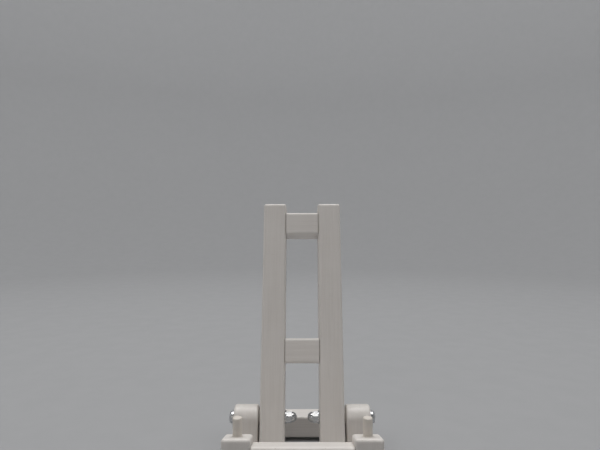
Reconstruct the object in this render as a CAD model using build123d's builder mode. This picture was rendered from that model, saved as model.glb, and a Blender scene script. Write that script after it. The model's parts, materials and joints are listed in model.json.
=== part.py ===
from build123d import *
from math import cos, radians, sin, tan
import os

# A plate display stand. A plate's rim sits on the bevelled tops of two short front posts, behind a peg
# in each, and its back leans on a ladder-shaped back frame. The back frame turns on two pivot bolts: it
# leans back until its tails bear on the stop rail, and folds a quarter turn forwards onto the front rail.
# The stand faces -Y, stands on z = 0, and is symmetrical about x = 0. Lengths are in millimetres.

# Driving dimensions
stock = 19.0  # side of the square timber
post_spacing = 85.5  # between the centres of the two front posts
arris_height = 57.0  # the front posts' top front edge above the floor
stand_depth = 140.0  # length of the runners, front to back
lean = 15.0  # degrees: the plate's lean, and the bevel of what it sits on
back_gap = 58.0  # from the posts' front faces back to the uprights' faces, at arris_height
rail_drop = 5.3  # the front rail's top front edge below that of the posts
upright_reach = 170.0  # of an upright above its pivot
tail_length = 37.0  # of an upright below its pivot
lower_rail_height = 40.0  # of the lower cross rail's underside, up the uprights from the pivot
top_rail_margin = 8.0  # from the top cross rail to the uprights' upper ends
eased = 2.0  # radius of the rounded timber edges

peg_diameter = 6.3
peg_proud = 12.6  # above the seat, at the peg's axis
peg_depth = 13.0  # below the seat
peg_rounding = 0.9  # radius of the rounded ends

dowel_diameter = 5.0
dowel_length = 22.0
dowel_spacing = 8.0
front_dowel_height = 4.0  # above the front rail's underside, so that the dowels clear the pegs

pad_diameter = 12.0
pad_height = 2.5
pad_inset = 24.0  # from the front face to the front pads' centres
rear_pad_inset = 12.0
pad_chamfer = 0.8

screw_diameter = 4.0
screw_head_diameter = 8.0
screw_length = 30.0
screw_tip = 3.5
screw_point_radius = 0.3
recess_width = 0.9
recess_length = 4.4
recess_depth = 1.6

bolt_diameter = 5.0
bolt_length = 45.0
bolt_head_diameter = 9.5
bolt_head_height = 2.75
bolt_head_rounding = 2.1
socket_across_flats = 3.0
socket_depth = 1.6
washer_diameter = 10.0
washer_thickness = 1.0
nut_across_flats = 8.0
nut_height = 4.0
nut_dome_height = 4.0
nut_dome_diameter = 7.4
nut_dome_rounding = 3.4
nut_thread_depth = 6.3

tight = 0.02  # radial gap round what is glued or driven in
running = 0.05  # radial gap round the bolts
side_play = 0.1  # between the uprights and the washers beside them
pivot_gap = 1.0  # between the uprights and the rear posts
stop_gap = 0.3  # between the folding frame and what it rests on

# Heights and places worked out from them
slope = tan(radians(lean))
up = cos(radians(lean))
front_y = -stand_depth / 2
rear_y = stand_depth / 2
runner_top = pad_height + stock
post_x = post_spacing / 2
inner_x = post_x - stock / 2
outer_x = post_x + stock / 2
upright_x = inner_x - pivot_gap - stock / 2
ladder_x = upright_x - stock / 2
front_post_y = front_y + stock / 2
rail_top = arris_height - rail_drop
rail_bottom = rail_top - stock
seat_height = arris_height - slope * stock / 2
peg_radius = peg_diameter / 2
dowel_radius = dowel_diameter / 2
screw_radius = screw_diameter / 2
screw_head_radius = screw_head_diameter / 2
bolt_radius = bolt_diameter / 2
sides = {"left": -1, "right": 1}

# The pivot lies on the uprights' centre line, half the stock above the plane of the front rail's bevel.
# A quarter turn then lays the uprights' front faces flat on that bevel.
upright_line = back_gap + stock / 2 / up
pivot_rise = ((stock / 2 + stop_gap) / up - rail_drop - slope * upright_line) * up**2
pivot_z = arris_height + pivot_rise
pivot_y = front_y + upright_line + slope * pivot_rise

# Its z runs up the leaning uprights and its y points to their backs.
lean_plane = Plane(
    origin=(0, pivot_y, pivot_z),
    x_dir=(1, 0, 0),
    z_dir=(0, sin(radians(lean)), cos(radians(lean))),
)

# The tails' front faces, and the stop rail's back face just in front of them
tail_front_y = pivot_y - stock / 2 / up + slope * (runner_top - pivot_z)
stop_rail_y = tail_front_y - stop_gap / up
stop_rail_middle = stop_rail_y - stock / 2 - slope * stock / 4

# Where the hidden dowels stand, as (y, z), a pair to each joint
front_rail_spots = [
    (front_post_y - dowel_spacing / 2, rail_bottom + front_dowel_height),
    (front_post_y + dowel_spacing / 2, rail_bottom + front_dowel_height),
]
stop_rail_spots = [
    (stop_rail_middle - dowel_spacing / 2, pad_height + stock / 2),
    (stop_rail_middle + dowel_spacing / 2, pad_height + stock / 2),
]
stretcher_spots = [
    (rear_y - stock / 2 - dowel_spacing / 2, pad_height + stock / 2),
    (rear_y - stock / 2 + dowel_spacing / 2, pad_height + stock / 2),
]

# The back frame's rails, as heights of their undersides up the uprights, and their dowels as (back, up)
ladder_rails = {
    "back_lower_rail": lower_rail_height,
    "back_top_rail": upright_reach - stock - top_rail_margin,
}
ladder_spots = [
    (back, height + stock / 2)
    for height in ladder_rails.values()
    for back in (-dowel_spacing / 2, dowel_spacing / 2)
]


def across(x):
    """The upright plane square to the stand's width at x, with coordinates (y, z)."""
    return Plane.YZ.offset(x)


def across_leaning(x):
    """The same turned with the back frame: coordinates (towards the back, up the uprights)."""
    return Plane(origin=(x, pivot_y, pivot_z), x_dir=lean_plane.y_dir, z_dir=(1, 0, 0))


def outward(side, x):
    """The plane square to the pivot at x on one side, with its normal pointing away from the middle."""
    return Plane(origin=(side * x, pivot_y, pivot_z), x_dir=(0, 0, 1), z_dir=(side, 0, 0))


def bore(plane, spots, radius, depth):
    """Cuts a round hole at each spot of the plane, as deep as depth along its normal."""
    with BuildSketch(plane) as mouths:
        with Locations(*spots):
            Circle(radius)
    extrude(mouths.sketch, amount=depth, mode=Mode.SUBTRACT)


def rods(plane, spots, radius, length):
    """Adds a round rod at each spot of the plane, as long as length along its normal."""
    with BuildSketch(plane) as ends:
        with Locations(*spots):
            Circle(radius)
    extrude(ends.sketch, amount=length)


def save(built, name):
    """Labels a finished piece and writes it."""
    built.part.label = name
    export_step(built.part, f"parts/{name}.step")


os.makedirs("parts", exist_ok=True)

for word, side in sides.items():
    # A runner lies front to back on two pads and carries both posts of its side.
    with BuildPart() as runner:
        with BuildSketch(Plane.XY.offset(pad_height)):
            with Locations((side * post_x, 0)):
                Rectangle(stock, stand_depth)
        extrude(amount=stock)
        fillet(runner.edges(), eased)
        for y in (front_post_y, pivot_y):
            with Locations(Plane(origin=(side * post_x, y, pad_height), z_dir=(0, 0, -1))):
                CounterSinkHole(
                    screw_radius + tight, screw_head_radius + tight, depth=stock, counter_sink_angle=90
                )
        bore(across(side * inner_x), stop_rail_spots, dowel_radius + tight, side * dowel_length / 2)
        bore(across(side * inner_x), stretcher_spots, dowel_radius + tight, side * dowel_length / 2)
    save(runner, f"runner_{word}")

    # A front post is cut to the lean at its top, which is the seat for the plate's rim.
    with BuildPart() as front_post:
        with BuildSketch(across(side * post_x - stock / 2)):
            with BuildLine():
                Polyline(
                    (front_y, runner_top),
                    (front_y + stock, runner_top),
                    (front_y + stock, arris_height - slope * stock),
                    (front_y, arris_height),
                    close=True,
                )
            make_face()
        extrude(amount=stock)
        fillet(front_post.edges().filter_by(lambda edge: edge.center().Z > runner_top + eased), eased)
        bore(
            Plane.XY.offset(seat_height - peg_depth),
            [(side * post_x, front_post_y)],
            peg_radius + tight,
            peg_depth + stock,
        )
        bore(
            Plane.XY.offset(runner_top),
            [(side * post_x, front_post_y)],
            screw_radius + tight,
            pad_height + screw_length - runner_top + tight,
        )
        bore(across(side * inner_x), front_rail_spots, dowel_radius + tight, side * dowel_length / 2)
    save(front_post, f"front_post_{word}")

    # A peg stops the plate's rim from sliding off the seat.
    with BuildPart() as peg:
        with BuildSketch(Plane.XY.offset(seat_height - peg_depth)):
            with Locations((side * post_x, front_post_y)):
                Circle(peg_radius)
        extrude(amount=peg_depth + peg_proud)
        fillet(peg.edges().filter_by(GeomType.CIRCLE), peg_rounding)
    save(peg, f"peg_{word}")

    # A rear post has a round top about the pivot.
    with BuildPart() as rear_post:
        with BuildSketch(across(side * post_x - stock / 2)):
            with BuildLine():
                Line((pivot_y - stock / 2, pivot_z), (pivot_y - stock / 2, runner_top))
                Line((pivot_y - stock / 2, runner_top), (pivot_y + stock / 2, runner_top))
                Line((pivot_y + stock / 2, runner_top), (pivot_y + stock / 2, pivot_z))
                ThreePointArc(
                    (pivot_y + stock / 2, pivot_z),
                    (pivot_y, pivot_z + stock / 2),
                    (pivot_y - stock / 2, pivot_z),
                )
            make_face()
        extrude(amount=stock)
        fillet(rear_post.edges().filter_by(lambda edge: edge.center().Z > runner_top + eased), eased)
        bore(
            Plane.XY.offset(runner_top),
            [(side * post_x, pivot_y)],
            screw_radius + tight,
            pad_height + screw_length - runner_top + tight,
        )
        bore(outward(side, inner_x), [(0, 0)], bolt_radius + running, stock)
    save(rear_post, f"rear_post_{word}")

    # An upright of the back frame, with the pivot near its foot
    with BuildPart() as back_upright:
        with BuildSketch(lean_plane.offset(-tail_length)):
            with Locations((side * upright_x, 0)):
                Rectangle(stock, stock)
        extrude(amount=tail_length + upright_reach)
        fillet(back_upright.edges(), eased)
        bore(outward(side, ladder_x), [(0, 0)], bolt_radius + running, stock)
        bore(across_leaning(side * ladder_x), ladder_spots, dowel_radius + tight, side * dowel_length / 2)
    save(back_upright, f"back_upright_{word}")

# The front rail ties the front posts and is cut to the same bevel as their tops.
with BuildPart() as front_rail:
    with BuildSketch(across(-inner_x)):
        with BuildLine():
            Polyline(
                (front_y, rail_bottom),
                (front_y + stock, rail_bottom),
                (front_y + stock, rail_top - slope * stock),
                (front_y, rail_top),
                close=True,
            )
        make_face()
    extrude(amount=2 * inner_x)
    fillet(front_rail.edges().filter_by(Axis.X), eased)
    for side in sides.values():
        bore(across(side * inner_x), front_rail_spots, dowel_radius + tight, -side * dowel_length / 2)
save(front_rail, "front_rail")

# The stop rail's back face is cut to the lean, and the uprights' tails bear on it.
with BuildPart() as stop_rail:
    with BuildSketch(across(-inner_x)):
        with BuildLine():
            Polyline(
                (stop_rail_y - stock, pad_height),
                (stop_rail_y - slope * stock, pad_height),
                (stop_rail_y, runner_top),
                (stop_rail_y - stock, runner_top),
                close=True,
            )
        make_face()
    extrude(amount=2 * inner_x)
    fillet(stop_rail.edges().filter_by(Axis.X), eased)
    for side in sides.values():
        bore(across(side * inner_x), stop_rail_spots, dowel_radius + tight, -side * dowel_length / 2)
save(stop_rail, "stop_rail")

# The rear stretcher ties the runners' back ends.
with BuildPart() as rear_stretcher:
    with BuildSketch(across(-inner_x)):
        with Locations((rear_y - stock / 2, pad_height + stock / 2)):
            Rectangle(stock, stock)
    extrude(amount=2 * inner_x)
    fillet(rear_stretcher.edges().filter_by(Axis.X), eased)
    for side in sides.values():
        bore(across(side * inner_x), stretcher_spots, dowel_radius + tight, -side * dowel_length / 2)
save(rear_stretcher, "rear_stretcher")

# The back frame's two cross rails
for name, height in ladder_rails.items():
    with BuildPart() as ladder_rail:
        with BuildSketch(lean_plane.offset(height)):
            Rectangle(2 * ladder_x, stock)
        extrude(amount=stock)
        fillet(ladder_rail.edges().filter_by(Axis.X), eased)
        spots = [spot for spot in ladder_spots if height < spot[1] < height + stock]
        for side in sides.values():
            bore(across_leaning(side * ladder_x), spots, dowel_radius + tight, -side * dowel_length / 2)
    save(ladder_rail, name)

# The hidden dowels, half in the rail and half in what it meets
for name, spots in {
    "front_rail_dowels": front_rail_spots,
    "stop_rail_dowels": stop_rail_spots,
    "rear_stretcher_dowels": stretcher_spots,
}.items():
    with BuildPart() as dowels:
        for side in sides.values():
            rods(across(side * inner_x - dowel_length / 2), spots, dowel_radius, dowel_length)
    save(dowels, name)

with BuildPart() as back_rail_dowels:
    for side in sides.values():
        start = side * ladder_x - dowel_length / 2
        rods(across_leaning(start), ladder_spots, dowel_radius, dowel_length)
save(back_rail_dowels, "back_rail_dowels")

# Countersunk screws up through the runners into the feet of the posts, with a cross recess in the head
with BuildPart() as post_screws:
    for side in sides.values():
        for y in (front_post_y, pivot_y):
            with BuildSketch(Plane(origin=(side * post_x, y, pad_height), x_dir=(1, 0, 0), z_dir=(0, -1, 0))):
                with BuildLine():
                    Polyline(
                        (0, 0),
                        (screw_head_radius, 0),
                        (screw_radius, screw_head_radius - screw_radius),
                        (screw_radius, screw_length - screw_tip),
                        (screw_point_radius, screw_length),
                        (0, screw_length),
                        close=True,
                    )
                make_face()
            revolve(axis=Axis((side * post_x, y, 0), (0, 0, 1)))
            with BuildSketch(Plane.XY.offset(pad_height)):
                with Locations((side * post_x, y)):
                    Rectangle(recess_length, recess_width)
                    Rectangle(recess_width, recess_length)
            extrude(amount=recess_depth, mode=Mode.SUBTRACT)
save(post_screws, "post_screws")

# Rubber pads under the runners
with BuildPart() as foot_pads:
    with BuildSketch():
        for side in sides.values():
            with Locations((side * post_x, front_y + pad_inset), (side * post_x, rear_y - rear_pad_inset)):
                Circle(pad_diameter / 2)
    extrude(amount=pad_height)
    chamfer(foot_pads.edges().group_by(Axis.Z)[0], pad_chamfer)
save(foot_pads, "foot_pads")

# The pivots, from the outside in: bolt head, washer, rear post, spacer, upright, washer and domed nut
head_x = outer_x + washer_thickness
inner_washer_x = ladder_x - side_play - washer_thickness

with BuildPart() as pivot_bolts:
    for side in sides.values():
        with BuildSketch(outward(side, head_x - bolt_length)):
            Circle(bolt_radius)
        extrude(amount=bolt_length)
        with BuildSketch(outward(side, head_x)):
            Circle(bolt_head_diameter / 2)
        extrude(amount=bolt_head_height)
    rims = pivot_bolts.edges().filter_by(GeomType.CIRCLE)
    head_rims = [edge for edge in rims if abs(edge.center().X) > head_x + bolt_head_height / 2]
    fillet(head_rims, bolt_head_rounding)
    for side in sides.values():
        with BuildSketch(outward(side, head_x + bolt_head_height)):
            RegularPolygon(socket_across_flats / 2, 6, major_radius=False)
        extrude(amount=-socket_depth, mode=Mode.SUBTRACT)
save(pivot_bolts, "pivot_bolts")

for name, start, thickness in (
    ("pivot_outer_washers", outer_x, washer_thickness),
    ("pivot_spacers", inner_x - pivot_gap + side_play, pivot_gap - side_play),
    ("pivot_inner_washers", inner_washer_x, washer_thickness),
):
    with BuildPart() as washers:
        for side in sides.values():
            with BuildSketch(outward(side, start)):
                Circle(washer_diameter / 2)
                Circle(bolt_radius + running, mode=Mode.SUBTRACT)
            extrude(amount=thickness)
    save(washers, name)

with BuildPart() as pivot_nuts:
    for side in sides.values():
        with BuildSketch(outward(side, inner_washer_x)):
            RegularPolygon(nut_across_flats / 2, 6, major_radius=False)
        extrude(amount=-nut_height)
        with BuildSketch(outward(side, inner_washer_x - nut_height)):
            Circle(nut_dome_diameter / 2)
        extrude(amount=-nut_dome_height)
    rims = pivot_nuts.edges().filter_by(GeomType.CIRCLE)
    dome_x = inner_washer_x - nut_height - nut_dome_height / 2
    fillet([edge for edge in rims if abs(edge.center().X) < dome_x], nut_dome_rounding)
    for side in sides.values():
        bore(outward(side, inner_washer_x), [(0, 0)], bolt_radius + tight, -nut_thread_depth)
save(pivot_nuts, "pivot_nuts")
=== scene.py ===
"""The looks of a folding plate display stand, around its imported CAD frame. Metres, +Z up, facing -Y."""

import json
import random
from math import cos, pi, radians, sin, tan

import bmesh
import bpy
import numpy as np
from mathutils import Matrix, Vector, noise


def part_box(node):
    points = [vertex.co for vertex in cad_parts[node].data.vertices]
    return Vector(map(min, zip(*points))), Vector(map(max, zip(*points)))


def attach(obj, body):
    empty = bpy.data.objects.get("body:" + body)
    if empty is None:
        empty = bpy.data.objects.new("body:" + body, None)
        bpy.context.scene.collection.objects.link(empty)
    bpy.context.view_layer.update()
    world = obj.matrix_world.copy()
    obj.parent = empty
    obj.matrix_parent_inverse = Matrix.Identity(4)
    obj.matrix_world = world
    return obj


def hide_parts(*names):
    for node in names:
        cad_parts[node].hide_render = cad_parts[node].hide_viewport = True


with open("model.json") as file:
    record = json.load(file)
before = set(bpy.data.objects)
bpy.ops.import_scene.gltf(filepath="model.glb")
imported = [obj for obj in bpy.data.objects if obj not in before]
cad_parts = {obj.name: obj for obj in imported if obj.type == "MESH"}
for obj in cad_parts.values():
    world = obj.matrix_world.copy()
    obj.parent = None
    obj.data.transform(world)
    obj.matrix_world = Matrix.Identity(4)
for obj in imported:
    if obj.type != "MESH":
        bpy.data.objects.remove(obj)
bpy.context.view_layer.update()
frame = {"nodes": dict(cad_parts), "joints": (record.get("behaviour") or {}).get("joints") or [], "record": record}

MM = 0.001
LEAN = radians(15)  # of the back frame at rest, and of the bevels on the posts and the rails
EASED = 2.0 * MM  # radius of the rounded timber edges
ROUNDING_SHIFT = 0.41 * EASED  # how far rounding moves the middle of an edge
LONG_PITCH = 0.8 * MM  # spacing of the mesh along the timber's long edges
SHORT_PITCH = 1.2 * MM  # and along its short ones
ARC_STEPS = 4  # of the mesh round each half of a rounded edge
ROUND_TOP_SIDES = 32  # of the outline of a rear post's round top
SHARP_ANGLE = radians(40)  # between faces, past which the edge between them isn't shaded smooth

WAVE = 0.05 * MM  # how far hand sanding takes the faces below flat
WAVE_SCALE = 70  # about as many ripples in a metre
DENT_WIDTHS = (1.2 * MM, 2.6 * MM)
DENT_DEPTHS = (0.10 * MM, 0.28 * MM)

SINK_RADIUS = 4.02 * MM  # of the screws' countersinks, at the surface
SINK_DEPTH = 2.2 * MM
SINK_REACH = 7 * MM  # of the mesh that is drawn towards a countersink's rim
SINK_DRAW = 1 * MM  # to each side of the rim, of the mesh that is drawn closest to it

PEG_ROUNDING = 0.9 * MM  # radius of the pegs' rounded ends
PEG_TURNS = 64  # of the mesh round a peg
PEG_WAVE = 0.04 * MM
PEG_WAVE_SCALE = 260
PAINT_CREEP = 0.8 * MM  # radius of the paint fillet at the foot of each peg
PAINT_TUCK = 0.4 * MM  # how far the foot of that fillet reaches below the seat

WALL_GLOW = 0.045  # strength of the light that the top of the studio's wall gives off

# The back frame's own directions at rest: up its uprights, and out of their backs
UP_LEAN = Vector((0, sin(LEAN), cos(LEAN)))
BACK_LEAN = Vector((0, cos(LEAN), -sin(LEAN)))

# What an acute corner of a bevel loses to its rounding, where it is cut square to the frame
ACUTE_LOSS = EASED * (tan(LEAN) + 1 / cos(LEAN) - 1)

SIDES = ("left", "right")
BOXES = {node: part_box(node) for node in frame["nodes"]}
STOCK = BOXES["runner_left"][1].x - BOXES["runner_left"][0].x
PIVOT = Vector(frame["joints"][0]["pos_m"])


# ---------------------------------------------------------------------------------------- materials


class Nodes:
    """A new node material, with short calls to add its nodes."""

    def __init__(self, name):
        self.material = bpy.data.materials.new(name)
        self.material.use_nodes = True
        self.tree = self.material.node_tree
        self.shader = self.tree.nodes["Principled BSDF"]

    def put(self, socket, value):
        """Links a socket, or sets its value."""
        if isinstance(value, bpy.types.NodeSocket):
            self.tree.links.new(value, socket)
        else:
            socket.default_value = value

    def node(self, kind, settings=(), **inputs):
        """Adds a node. settings are its properties, and inputs its sockets, with _ for a space."""
        made = self.tree.nodes.new("ShaderNode" + kind)
        for key, value in dict(settings).items():
            setattr(made, key, value)
        for key, value in inputs.items():
            self.put(made.inputs[key.replace("_", " ")], value)
        return made

    def attribute(self, name, output="Fac"):
        """Reads one of the mesh's own values."""
        return self.node("Attribute", {"attribute_name": name}).outputs[output]

    def scaled(self, vector, factors):
        """The place multiplied by a factor along each axis, which stretches a pattern where it is small."""
        made = self.node("Mapping", Vector=vector)
        made.inputs["Scale"].default_value = factors
        return made.outputs["Vector"]

    def noise(self, vector, scale, detail=3.0, rough=0.5, distortion=0.0):
        made = self.node(
            "TexNoise", Vector=vector, Scale=scale, Detail=detail, Roughness=rough, Distortion=distortion
        )
        return made.outputs["Fac"]

    def math(self, operation, a, b=0.0):
        made = self.node("Math", {"operation": operation})
        self.put(made.inputs[0], a)
        self.put(made.inputs[1], b)
        return made.outputs[0]

    def between(self, value, low, high, to_low=0.0, to_high=1.0):
        """Value stretched from low..high to to_low..to_high, and held inside it."""
        made = self.node("MapRange", {"interpolation_type": "SMOOTHSTEP"}, Value=value)
        for key, number in (("From Min", low), ("From Max", high), ("To Min", to_low), ("To Max", to_high)):
            made.inputs[key].default_value = number
        return made.outputs["Result"]

    def mix(self, factor, a, b):
        made = self.node("Mix", {"data_type": "RGBA"})
        self.put(made.inputs[0], factor)
        self.put(made.inputs[6], a)
        self.put(made.inputs[7], b)
        return made.outputs[2]

    def bump(self, height, depth, below=None):
        """Relief of that depth, in metres, on top of what lies below."""
        made = self.node("Bump", Height=height, Strength=1.0, Distance=depth)
        if below is not None:
            self.put(made.inputs["Normal"], below)
        return made.outputs["Normal"]

    def finish(self, **sockets):
        """Fills the shader's sockets, with _ for a space, and gives the material."""
        for key, value in sockets.items():
            self.put(self.shader.inputs[key.replace("_", " ")], value)
        return self.material


def painted_timber(name, shade, dull_shade):
    """Satin paint of two close shades, brushed along the grain over planed timber, worn on the edges, with painted
    shade and dust darkening its corners.
    """
    m = Nodes(name)
    grain = m.attribute("grain", "Vector")
    arris = m.attribute("arris")
    end = m.attribute("end_grain")
    rubbed = m.attribute("rubbed")

    laps = m.noise(m.scaled(grain, (1, 1, 0.03)), 340, 3, 0.55)
    strokes = m.noise(m.scaled(grain, (1, 1, 0.035)), 1100, 4, 0.55)
    bristles = m.noise(m.scaled(grain, (1, 1, 0.02)), 3200, 2, 0.5)
    pores = m.noise(m.scaled(grain, (1, 1, 0.05)), 620, 5, 0.7, 0.6)
    blotches = m.noise(grain, 55, 3, 0.5)
    stipple = m.noise(grain, 1900, 3, 0.6)
    patches = m.noise(grain, 260, 4, 0.65)

    fresh = m.mix(blotches, shade, dull_shade)
    lapped = m.mix(m.between(laps, 0.38, 0.66, 0, 0.16), fresh, (0.605, 0.565, 0.518, 1))
    streaked = m.mix(m.between(strokes, 0.35, 0.75, 0, 0.14), lapped, (0.585, 0.545, 0.50, 1))
    thin = m.math("MULTIPLY", m.between(pores, 0.56, 0.74, 0, 0.22), m.between(arris, 0, 1, 1, 0.5))
    telegraphed = m.mix(thin, streaked, (0.56, 0.53, 0.48, 1))
    thirsty = m.math("MULTIPLY", end, m.between(stipple, 0.45, 0.7, 0, 0.22))
    ends = m.mix(thirsty, telegraphed, (0.55, 0.52, 0.47, 1))

    scuffs = m.noise(m.scaled(grain, (0.25, 0.3, 1)), 700, 5, 0.7, 1.2)
    smear = m.math("MULTIPLY", rubbed, m.between(scuffs, 0.54, 0.80, 0, 0.22))
    marked = m.mix(smear, ends, (0.46, 0.39, 0.32, 1))

    # Painted shade: the paint darkens where ambient occlusion finds corners and joints, in patches. It stands in
    # for the shade there as well as for the dust that settles there.
    corner = m.node("AmbientOcclusion", {"samples": 6, "only_local": False}, Distance=3.5 * MM)
    corner_shade = m.between(corner.outputs["AO"], 0.35, 0.95, 0.34, 0)
    dust = m.math("MULTIPLY", corner_shade, m.between(patches, 0.3, 0.7, 0.5, 1))
    shaded_and_dusted = m.mix(dust, marked, (0.30, 0.275, 0.24, 1))

    worn = m.between(m.math("ADD", m.math("MULTIPLY", arris, 0.20), patches), 0.80, 0.90)
    undercoat = m.mix(worn, shaded_and_dusted, (0.52, 0.475, 0.40, 1))
    chipped = m.between(m.math("ADD", m.math("MULTIPLY", arris, 0.17), patches), 0.885, 0.90)
    colour = m.mix(chipped, undercoat, m.mix(pores, (0.45, 0.32, 0.19, 1), (0.30, 0.20, 0.115, 1)))

    brushed = m.math("ADD", m.between(strokes, 0.3, 0.7, 0.32, 0.42), m.between(laps, 0.35, 0.65, 0, 0.10))
    rough = m.math("ADD", brushed, m.math("MULTIPLY", chipped, 0.25))
    relief = m.bump(strokes, 0.055 * MM, m.bump(laps, 0.05 * MM))
    relief = m.bump(bristles, 0.012 * MM, relief)
    relief = m.bump(m.math("MULTIPLY", m.between(pores, 0.5, 0.8), -1.0), 0.03 * MM, relief)
    relief = m.bump(m.math("MULTIPLY", stipple, m.between(end, 0, 1, 0.25, 1)), 0.05 * MM, relief)
    relief = m.bump(m.math("MULTIPLY", chipped, -1.0), 0.12 * MM, relief)
    return m.finish(Base_Color=colour, Roughness=rough, Normal=relief, Specular_IOR_Level=0.45)


def bare_beech():
    """Bare beech dowel, with short dark flecks along its grain."""
    m = Nodes("bare_beech")
    where = m.node("TexCoord").outputs["Object"]
    along = m.scaled(where, (0.05, 1, 1))
    rings = m.noise(along, 420, 5, 0.6, 0.8)
    flecks = m.noise(m.scaled(where, (0.18, 1, 1)), 2600, 2, 0.5)
    wood = m.mix(rings, (0.56, 0.37, 0.22, 1), (0.43, 0.26, 0.14, 1))
    colour = m.mix(m.between(flecks, 0.6, 0.72, 0, 0.6), wood, (0.25, 0.14, 0.08, 1))
    rough = m.between(rings, 0.3, 0.7, 0.55, 0.7)
    return m.finish(Base_Color=colour, Roughness=rough, Normal=m.bump(flecks, 0.03 * MM))


def zinc_steel():
    """Bright zinc plating with a faint mottle, fine scratches and a dull bloom."""
    m = Nodes("zinc_steel")
    where = m.node("TexCoord").outputs["Object"]
    mottle = m.noise(where, 900, 4, 0.6)
    scratches = m.noise(m.scaled(where, (1, 0.06, 1)), 5200, 2, 0.5, 0.3)
    bloom = m.noise(where, 260, 3, 0.5)
    plating = m.mix(mottle, (0.66, 0.67, 0.68, 1), (0.54, 0.545, 0.55, 1))
    colour = m.mix(m.between(bloom, 0.45, 0.75, 0, 0.35), plating, (0.60, 0.575, 0.50, 1))
    rough = m.math("ADD", m.between(mottle, 0.3, 0.7, 0.24, 0.38), m.between(bloom, 0.5, 0.8, 0, 0.18))
    relief = m.bump(mottle, 0.01 * MM, m.bump(scratches, 0.006 * MM))
    return m.finish(Base_Color=colour, Metallic=1.0, Roughness=rough, Normal=relief)


def moulded_nylon():
    """Natural nylon: off-white and waxy, with a fine moulded grain."""
    m = Nodes("moulded_nylon")
    where = m.node("TexCoord").outputs["Object"]
    cloud = m.noise(where, 500, 3, 0.5)
    colour = m.mix(cloud, (0.76, 0.74, 0.68, 1), (0.68, 0.65, 0.58, 1))
    rough = m.between(m.noise(where, 2500, 2, 0.5), 0.3, 0.7, 0.38, 0.55)
    return m.finish(Base_Color=colour, Roughness=rough, Normal=m.bump(cloud, 0.01 * MM))


def pad_rubber():
    """Dark rubber with a fine speckle, and grey dust where it is scuffed."""
    m = Nodes("pad_rubber")
    where = m.node("TexCoord").outputs["Object"]
    speckle = m.noise(where, 2600, 3, 0.6)
    scuff = m.noise(where, 420, 4, 0.6)
    rubber = m.mix(speckle, (0.030, 0.030, 0.032, 1), (0.055, 0.055, 0.058, 1))
    colour = m.mix(m.between(scuff, 0.5, 0.8, 0, 0.5), rubber, (0.16, 0.155, 0.15, 1))
    rough = m.between(scuff, 0.3, 0.8, 0.6, 0.85)
    return m.finish(Base_Color=colour, Roughness=rough, Normal=m.bump(speckle, 0.03 * MM))


def floor_paper():
    """A plain pale studio floor with a very faint mottle, whose upturned wall is lit from within."""
    m = Nodes("floor_paper")
    where = m.node("TexCoord").outputs["Object"]
    height = m.node("SeparateXYZ", Vector=where).outputs["Z"]
    mottle = m.noise(where, 30, 4, 0.5)
    colour = m.mix(mottle, (0.38, 0.383, 0.39, 1), (0.365, 0.368, 0.375, 1))
    rough = m.between(mottle, 0.3, 0.7, 0.75, 0.85)
    glow = m.between(height, 0.0, 1.2, 0, WALL_GLOW)
    return m.finish(
        Base_Color=colour, Roughness=rough, Emission_Color=(0.97, 0.98, 1, 1), Emission_Strength=glow
    )


# ------------------------------------------------------------------------------------ painted timber


def stations(length, rounded):
    """Shares of the way along an edge, with extra ones where its ends are rounded."""
    pitch = SHORT_PITCH if length < 2 * STOCK else LONG_PITCH
    first = EASED if rounded else 0.0
    ends = [0.0]
    if rounded:
        ends = [EASED * (1 - tan(pi / 4 * (1 - k / ARC_STEPS))) for k in range(ARC_STEPS)]
    count = max(2, round((length - 2 * first) / pitch))
    middle = [first + (length - 2 * first) * k / count for k in range(count + 1)]
    inner = middle if rounded else middle[1:-1]
    return np.array([*ends, *inner, *(length - d for d in reversed(ends))]) / length


def inset(outline, amounts):
    """A convex outline, taken counter-clockwise, with each side moved in by its own amount."""
    count = len(outline)
    moved = []
    for k in range(count):
        along = outline[(k + 1) % count] - outline[k]
        inwards = np.array((-along[1], along[0])) / np.hypot(*along)
        moved.append((outline[k] + amounts[k] * inwards, along))
    corners = []
    for k in range(count):
        (p, d), (q, e) = moved[k - 1], moved[k]
        share = np.linalg.solve(np.array((d, -e)).T, q - p)[0]
        corners.append(p + share * d)
    return np.array(corners)


def nearest(points, outline):
    """The nearest point to each in a convex outline, and how far past its furthest side each lies."""
    best = np.full(len(points), np.inf)
    found = points.copy()
    past = np.full(len(points), -np.inf)
    for a, b in zip(outline, np.roll(outline, -1, axis=0)):
        along = b - a
        share = np.clip((points - a) @ along / (along @ along), 0, 1)
        on_side = a + share[:, None] * along
        distance = np.hypot(*(points - on_side).T)
        closer = distance < best
        best[closer] = distance[closer]
        found[closer] = on_side[closer]
        outwards = np.array((along[1], -along[0])) / np.hypot(*along)
        past = np.maximum(past, (points - a) @ outwards)
    inside = past <= 0
    found[inside] = points[inside]
    return found, np.maximum(past, 0)


def line(a, b):
    """The straight side from a to b, as a function of the share along it."""
    return lambda share: a + np.outer(share, b - a)


def half_round(centre, radius):
    """The half-round side over centre from front to back, as a function of the share along it."""

    def place(share):
        turn = pi * (1 - np.asarray(share, float))
        return centre + radius * np.array((np.cos(turn), np.sin(turn))).T

    return place


def patch(bottom, top, front, back, s, t):
    """Fills the outline between four sides with a grid: s runs along bottom and top, t up front and back."""
    low, high, fore, rear = bottom(s), top(s), front(t), back(t)
    s, t = s[:, None, None], t[None, :, None]
    ruled = (1 - t) * low[:, None] + t * high[:, None] + (1 - s) * fore[None] + s * rear[None]
    corners = (1 - s) * (1 - t) * low[0] + s * (1 - t) * low[-1] + (1 - s) * t * high[0] + s * t * high[-1]
    return ruled - corners


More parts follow.
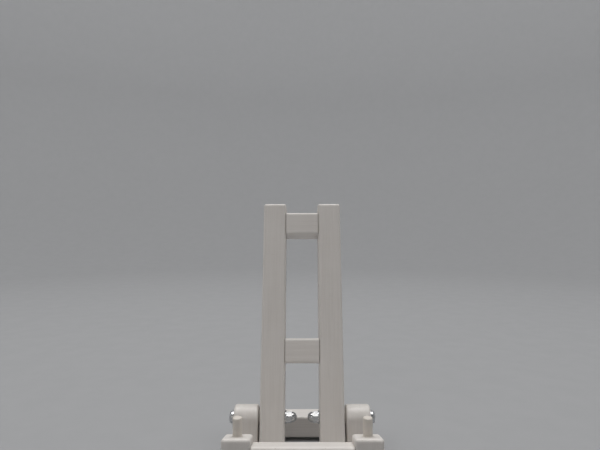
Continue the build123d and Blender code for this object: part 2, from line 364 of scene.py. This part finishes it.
def box_surface(counts):
    """The surface of a lattice: its points, and its faces as quads of those points."""
    index, quads = {}, []

    def at(*place):
        return index.setdefault(place, len(index))

    for fixed in range(3):
        a, b = [k for k in range(3) if k != fixed]
        for level in (0, counts[fixed] - 1):
            for i in range(counts[a] - 1):
                for j in range(counts[b] - 1):
                    quad = []
                    for di, dj in ((0, 0), (1, 0), (1, 1), (0, 1)):
                        place = [0, 0, 0]
                        place[fixed], place[a], place[b] = level, i + di, j + dj
                        quad.append(at(*place))
                    quads.append(quad)
    return np.array(list(index)), quads


def dents(seed, low, high, count):
    """Small knocks near a piece's edges: where, how wide and how deep."""
    draw = random.Random(seed)
    made = []
    for _ in range(count):
        spot = [draw.choice((low[k], high[k])) for k in range(3)]
        long_way = max(range(3), key=lambda k: high[k] - low[k])
        spot[long_way] = draw.uniform(low[long_way], high[long_way])
        made.append((np.array(spot), draw.uniform(*DENT_WIDTHS), draw.uniform(*DENT_DEPTHS)))
    return made


class Timber:
    """One piece of painted timber: a convex outline in a plane square to X, drawn out along X."""

    def __init__(self, node, corners, grain, seated=False, butted=False, round_top=None, knocks=0):
        """corners are (y, z): bottom front, bottom back, top back, top front. grain is the way the wood
        runs. seated leaves the bottom's edges square, and butted those of the two ends across X.
        round_top is the centre of a half-round top. knocks is the number of dents in the edges."""
        self.node = node
        self.grain = Vector(grain).normalized()
        self.seed = sum(ord(letter) * (k + 1) for k, letter in enumerate(node))
        self.low, self.high = BOXES[node]
        corners = [np.array(corner, float) for corner in corners]
        points, quads, moved = self.shape(corners, seated, butted, round_top)
        self.object = self.build(points, quads, moved, knocks)

    def shape(self, corners, seated, butted, round_top):
        """The piece's points and quads, and how far rounding its edges moved each point."""
        a, b, c, d = corners
        top = line(d, c)
        outline = [a, b, c, d]
        if round_top is not None:
            top = half_round(np.array(round_top), (b - a)[0] / 2)
            outline = [a, b, *top(np.linspace(1, 0, ROUND_TOP_SIDES + 1))]
        width = self.high.x - self.low.x
        s, t = stations(np.hypot(*(b - a)), True), stations(np.hypot(*(d - a)), True)
        x = self.low.x + width * stations(width, not butted)
        grid = patch(line(a, b), top, line(a, d), line(b, c), s, t)
        lattice, quads = box_surface((len(s), len(t), len(x)))
        flat, across = grid[lattice[:, 0], lattice[:, 1]], x[lattice[:, 2]]

        amounts = [0.0 if seated and k == 0 else EASED for k in range(len(outline))]
        core, past = nearest(flat, inset(np.array(outline), amounts))
        margin = 0.0 if butted else EASED
        core_x = np.clip(across, self.low.x + margin, self.high.x - margin)
        offset = np.column_stack((across - core_x, flat - core))
        reach = np.linalg.norm(offset, axis=1)
        scale = np.maximum(past, np.abs(across - core_x)) / np.maximum(reach, 1e-12)
        sharp = np.column_stack((across, flat))
        rounded = np.column_stack((core_x, core)) + offset * scale[:, None]
        return rounded, quads, np.linalg.norm(sharp - rounded, axis=1)

    def build(self, points, quads, moved, knocks):
        """The piece's object, hand-sanded, dented, sunk for its screws and painted."""
        mesh = mesh_of(self.node + "_paint", points, quads)
        normals = rows_of(mesh.vertices, "normal")
        depth = WAVE * (0.5 + 0.5 * ripple(points, WAVE_SCALE, self.seed))
        for spot, width, deep in dents(self.seed, self.low, self.high, knocks):
            away = np.linalg.norm(points - spot, axis=1) / width
            depth += deep * np.clip(1 - away**2, 0, None) ** 2
        points = points - normals * depth[:, None]
        if self.node.startswith("runner"):
            countersink(points, self.low)
        mesh.vertices.foreach_set("co", points.ravel())
        rubbed = rub(self.node, points, normals)
        paint_attributes(mesh, self.grain, self.seed, moved / ROUNDING_SHIFT, rubbed)
        mesh.set_sharp_from_angle(angle=SHARP_ANGLE)
        return placed(self.node + "_timber", mesh, WHITE_PAINT)


def countersink(points, low):
    """Sinks the underside of a runner round its two screws, and draws its mesh close round their rims."""
    for y in (BOXES["front_post_left"][0].y + STOCK / 2, PIVOT.y):
        away = points[:, :2] - (low.x + STOCK / 2, y)
        reach = np.hypot(*away.T)
        near = (reach < SINK_REACH) & (points[:, 2] < low.z + 3 * WAVE)
        inner, outer = SINK_RADIUS - SINK_DRAW, SINK_RADIUS + SINK_DRAW
        rims = (0, inner, outer, SINK_REACH)
        drawn = (0, SINK_RADIUS - SINK_DRAW / 5, SINK_RADIUS + SINK_DRAW / 5, SINK_REACH)
        radius = np.interp(reach[near], rims, drawn)
        points[near, :2] += away[near] * (radius / np.maximum(reach[near], WAVE) - 1)[:, None]
        points[near, 2] += np.clip(SINK_RADIUS - radius, 0, SINK_DEPTH)


def mesh_of(name, points, faces):
    """A mesh of these points and faces, with its normals pointing out."""
    mesh = bpy.data.meshes.new(name)
    mesh.from_pydata(np.asarray(points).tolist(), [], faces)
    made = bmesh.new()
    made.from_mesh(mesh)
    bmesh.ops.recalc_face_normals(made, faces=made.faces)
    made.to_mesh(mesh)
    made.free()
    return mesh


def rows_of(items, key):
    """A three-number value of every vertex, as rows."""
    values = np.empty(len(items) * 3)
    items.foreach_get(key, values)
    return values.reshape(-1, 3)


def ripple(points, scale, seed):
    """Smooth noise from -1 to 1 at each point."""
    shift = Vector((seed % 7, seed % 11, seed % 13))
    return np.array([noise.noise(Vector(point) * scale + shift) for point in points])


def placed(name, mesh, paint):
    """An object of that mesh, at the origin, with one material."""
    mesh.materials.append(paint)
    made = bpy.data.objects.new(name, mesh)
    bpy.context.scene.collection.objects.link(made)
    return made


def paint_attributes(mesh, grain, seed, arris, rubbed):
    """What the paint reads: place along the grain, how much of an edge, end grain and rubbed places."""
    side = grain.cross(Vector((1, 0, 0)))
    side = side.normalized() if side.length > 0.1 else Vector((0, 0, 1))
    turned = np.array((grain.cross(side), side, grain))
    points, normals = rows_of(mesh.vertices, "co"), rows_of(mesh.vertices, "normal")
    places = points @ turned.T + np.array((seed % 17, seed % 19, seed % 23)) * 0.1
    mesh.attributes.new("grain", "FLOAT_VECTOR", "POINT").data.foreach_set("vector", places.ravel())
    end = np.clip(np.abs(normals @ np.array(grain)) * 2 - 1, 0, 1)
    for name, values in (("arris", np.clip(arris, 0, 1)), ("end_grain", end), ("rubbed", rubbed)):
        mesh.attributes.new(name, "FLOAT", "POINT").data.foreach_set("value", values)


def rub(node, points, normals):
    """How much plates have rubbed the paint at each point, from 0 to 1."""
    low, high = BOXES[node]
    if node.startswith("front_post"):
        # On the seat, fading in over the quarter of its depth that starts just behind the peg's middle
        behind_peg = (points[:, 1] - low.y) / STOCK - 0.5
        return np.clip(normals[:, 2], 0, 1) * np.clip(behind_peg * 4 - 0.4, 0, 1)
    if node.startswith("back_upright"):
        # On the front face, fading in from a sixth of the way up to just past the middle
        height = (points[:, 2] - PIVOT.z) / (high.z - PIVOT.z)
        return np.clip(-normals @ np.array(BACK_LEAN), 0, 1) * np.clip(height * 2.5 - 0.4, 0, 1)
    return np.zeros(len(points))


def upright_box(bottom, top):
    """The corners of a piece of the back frame, between two heights up the leaning uprights."""
    axis = np.array((PIVOT.y, PIVOT.z))
    up, back = np.array(UP_LEAN[1:]), np.array(BACK_LEAN[1:]) * STOCK / 2
    return [
        axis + bottom * up - back,
        axis + bottom * up + back,
        axis + top * up + back,
        axis + top * up - back,
    ]


def span_up(node):
    """The lowest and highest place of a CAD node, measured up the leaning uprights from the pivot."""
    heights = [(vertex.co - PIVOT).dot(UP_LEAN) for vertex in frame["nodes"][node].data.vertices]
    return min(heights), max(heights)


def corners_of(node, top_loss=0.0):
    """The (y, z) corners of a CAD node's box, its top raised by what rounding took off a bevel."""
    low, high = BOXES[node]
    top = high.z + top_loss
    return [(low.y, low.z), (high.y, low.z), (high.y, top), (low.y, top)]


def bevelled(node):
    """A box's corners with the top sloping down to the back at the lean."""
    a, b, c, d = corners_of(node, ACUTE_LOSS)
    return [a, b, (c[0], c[1] - STOCK * tan(LEAN)), d]


def make_timber():
    """Every piece of painted timber, as {node: object}."""
    pieces = []
    for side in SIDES:
        node = f"front_post_{side}"
        pieces.append(Timber(node, bevelled(node), (0, 0, 1), seated=True, knocks=2))
        node = f"rear_post_{side}"
        low, high = BOXES[node]
        centre = (PIVOT.y, PIVOT.z)
        shoulders = [(low.y, low.z), (high.y, low.z), (high.y, PIVOT.z), (low.y, PIVOT.z)]
        pieces.append(Timber(node, shoulders, (0, 0, 1), seated=True, round_top=centre, knocks=2))
        node = f"runner_{side}"
        pieces.append(Timber(node, corners_of(node), (0, 1, 0), knocks=9))
        node = f"back_upright_{side}"
        pieces.append(Timber(node, upright_box(*span_up(node)), UP_LEAN, knocks=9))
    pieces.append(Timber("front_rail", bevelled("front_rail"), (1, 0, 0), butted=True, knocks=3))
    a, b, c, d = corners_of("stop_rail")
    acute = (c[0] + ACUTE_LOSS, c[1])
    foot = (acute[0] - STOCK * tan(LEAN), b[1])
    pieces.append(Timber("stop_rail", [a, foot, acute, d], (1, 0, 0), butted=True, knocks=3))
    pieces.append(Timber("rear_stretcher", corners_of("rear_stretcher"), (1, 0, 0), butted=True, knocks=4))
    for node in ("back_lower_rail", "back_top_rail"):
        pieces.append(Timber(node, upright_box(*span_up(node)), (1, 0, 0), butted=True, knocks=1))
    made = {piece.node: piece.object for piece in pieces}
    made.update({f"peg_{side}": make_peg(side) for side in SIDES})
    return made


def peg_rows(radius, foot, end, seat_back):
    """A peg's outline from its foot to its end: radius, height, and whether that is above the seat."""
    arc = [pi / 2 * k / 8 for k in range(9)]
    rounded = [(radius - PEG_ROUNDING * (1 - cos(turn)), PEG_ROUNDING * (sin(turn) - 1)) for turn in arc]
    rows = [(r, foot - dz, False) for r, dz in reversed(rounded)]
    rows.append((radius, -PAINT_TUCK, True))
    for turn in (pi / 2 * k / 6 for k in range(7)):
        rows.append((radius + PAINT_CREEP * (1 - sin(turn)), PAINT_CREEP * (1 - cos(turn)), True))
    straight = np.linspace(seat_back + 2 * PAINT_CREEP, end - PEG_ROUNDING, 14, endpoint=False)
    rows += [(radius, z, False) for z in straight]
    rows += [(r, end + dz, False) for r, dz in rounded]
    rows += [(rounded[-1][0] * share, end, False) for share in (0.75, 0.5, 0.25)]
    return rows


def make_peg(side):
    """A round peg with rounded ends, and the paint that has crept up round its foot on the seat."""
    node = f"peg_{side}"
    low, high = BOXES[node]
    post_low, post_high = BOXES[f"front_post_{side}"]
    middle, radius = (low + high) / 2, (high.x - low.x) / 2
    seed = 40 + SIDES.index(side)

    def seat(y):
        return post_high.z + ACUTE_LOSS - (y - post_low.y) * tan(LEAN)

    rows = peg_rows(radius, low.z, high.z, seat(middle.y + radius))
    points, faces = [], []
    for r, z, on_seat in rows:
        for turn in (2 * pi * k / PEG_TURNS for k in range(PEG_TURNS)):
            x, y = middle.x + r * cos(turn), middle.y + r * sin(turn)
            points.append((x, y, z + seat(y) if on_seat else z))
    for row in range(len(rows) - 1):
        for k in range(PEG_TURNS):
            a, b = row * PEG_TURNS + k, row * PEG_TURNS + (k + 1) % PEG_TURNS
            faces.append((a, b, b + PEG_TURNS, a + PEG_TURNS))
    points += [(middle.x, middle.y, low.z), (middle.x, middle.y, high.z)]
    last = (len(rows) - 1) * PEG_TURNS
    for k in range(PEG_TURNS):
        faces.append((len(points) - 2, (k + 1) % PEG_TURNS, k))
        faces.append((len(points) - 1, last + k, last + (k + 1) % PEG_TURNS))
    mesh = mesh_of(node + "_paint", points, faces)
    points, normals = rows_of(mesh.vertices, "co"), rows_of(mesh.vertices, "normal")
    depth = PEG_WAVE * (0.5 + 0.5 * ripple(points, PEG_WAVE_SCALE, seed))
    points = points - normals * depth[:, None]
    mesh.vertices.foreach_set("co", points.ravel())
    mesh.polygons.foreach_set("use_smooth", [True] * len(mesh.polygons))
    edge = 1 - np.abs(points[:, 2] - high.z + PEG_ROUNDING / 2) / PEG_ROUNDING
    behind = np.clip(normals[:, 1], 0, 1) * (points[:, 2] > seat(middle.y))
    paint_attributes(mesh, Vector((0, 0, 1)), seed, edge, behind)
    return placed(node + "_peg", mesh, PEG_PAINT)


# ------------------------------------------------------------------------------------------ assembly

WHITE_PAINT = painted_timber("painted_timber", (0.812, 0.775, 0.740, 1), (0.757, 0.715, 0.675, 1))
PEG_PAINT = painted_timber("painted_peg", (0.79, 0.735, 0.668, 1), (0.735, 0.677, 0.608, 1))
CARRIED = {
    "beech": bare_beech(),
    "zinc_steel": zinc_steel(),
    "nylon": moulded_nylon(),
    "rubber": pad_rubber(),
}
BODY_OF = {node: body for body, nodes in frame["record"]["behaviour"]["bodies"].items() for node in nodes}
SLOT_OF = {row["node"]: row["material_slot"] for row in frame["record"]["subparts"]}

for node, piece in make_timber().items():
    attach(piece, BODY_OF[node])
    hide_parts(node)

for node, shape in frame["nodes"].items():
    material = CARRIED.get(SLOT_OF[node], WHITE_PAINT)
    shape.data.materials.clear()
    shape.data.materials.append(material)


# -------------------------------------------------------------------------------------- studio, camera


def studio_floor():
    """A round floor that turns up into a wall, so that no horizon shows."""
    flat, bend, wall = 1.6, 1.0, 2.2
    rings, turns = 24, 96
    profile = [(flat * k / 4, 0.0) for k in range(1, 5)]
    for turn in (pi / 2 * k / rings for k in range(1, rings)):
        profile.append((flat + bend * sin(turn), bend * (1 - cos(turn))))
    profile += [(flat + bend, bend), (flat + bend, wall)]
    made = bmesh.new()
    centre = made.verts.new((0, 0, 0))
    rows = [
        [made.verts.new((r * cos(2 * pi * k / turns), r * sin(2 * pi * k / turns), z)) for k in range(turns)]
        for r, z in profile
    ]
    for k in range(turns):
        made.faces.new((centre, rows[0][k], rows[0][(k + 1) % turns]))
        for inner, outer in zip(rows, rows[1:]):
            made.faces.new((inner[k], outer[k], outer[(k + 1) % turns], inner[(k + 1) % turns]))
    mesh = bpy.data.meshes.new("studio_floor")
    made.to_mesh(mesh)
    made.free()
    mesh.polygons.foreach_set("use_smooth", [True] * len(mesh.polygons))
    mesh.materials.append(floor_paper())
    floor = bpy.data.objects.new("studio_floor", mesh)
    bpy.context.scene.collection.objects.link(floor)


def soft_light(name, place, target, size, watts, colour=(1, 1, 1)):
    """A soft box at a place, turned to its target."""
    lamp = bpy.data.lights.new(name, "AREA")
    lamp.shape = "RECTANGLE"
    lamp.size, lamp.size_y = size
    lamp.energy = watts
    lamp.color = colour
    made = bpy.data.objects.new(name, lamp)
    made.location = place
    made.rotation_euler = (Vector(target) - Vector(place)).to_track_quat("-Z", "Y").to_euler()
    bpy.context.scene.collection.objects.link(made)


def light_studio():
    """A large soft box overhead, with weaker ones in front and to each side."""
    soft_light("top_light", (0, 0.35, 3.2), (0, 0, 0.05), (2.6, 2.1), 84)
    soft_light("front_light", (-0.7, -2.1, 1.3), (0, 0, 0.08), (1.2, 1.2), 3.0, (1.0, 0.93, 0.85))
    soft_light("left_light", (-2.0, 0.2, 1.1), (0, 0, 0.08), (1.0, 1.0), 1.8)
    soft_light("right_light", (2.0, 0.2, 1.1), (0, 0, 0.08), (1.0, 1.0), 0.8)
    world = bpy.data.worlds.new("studio_air")
    world.use_nodes = True
    world.node_tree.nodes["Background"].inputs["Color"].default_value = (0.92, 0.95, 1.0, 1)
    world.node_tree.nodes["Background"].inputs["Strength"].default_value = 0.05
    bpy.context.scene.world = world
    bpy.context.scene.view_settings.view_transform = "Standard"


def place_camera():
    """Level, close in front of the stand, as high as the middle of a plate that stands on it."""
    front = BOXES["front_post_left"][0].y
    aside, distance, height = -0.0017, 0.2963, 0.1930
    data = bpy.data.cameras.new("camera")
    data.sensor_width, data.lens = 36, 28
    data.clip_start = 0.01
    camera = bpy.data.objects.new("camera", data)
    camera.location = (aside, front - distance, height)
    camera.rotation_euler = (radians(90), 0, 0)
    bpy.context.scene.collection.objects.link(camera)
    bpy.context.scene.camera = camera


studio_floor()
light_studio()
place_camera()
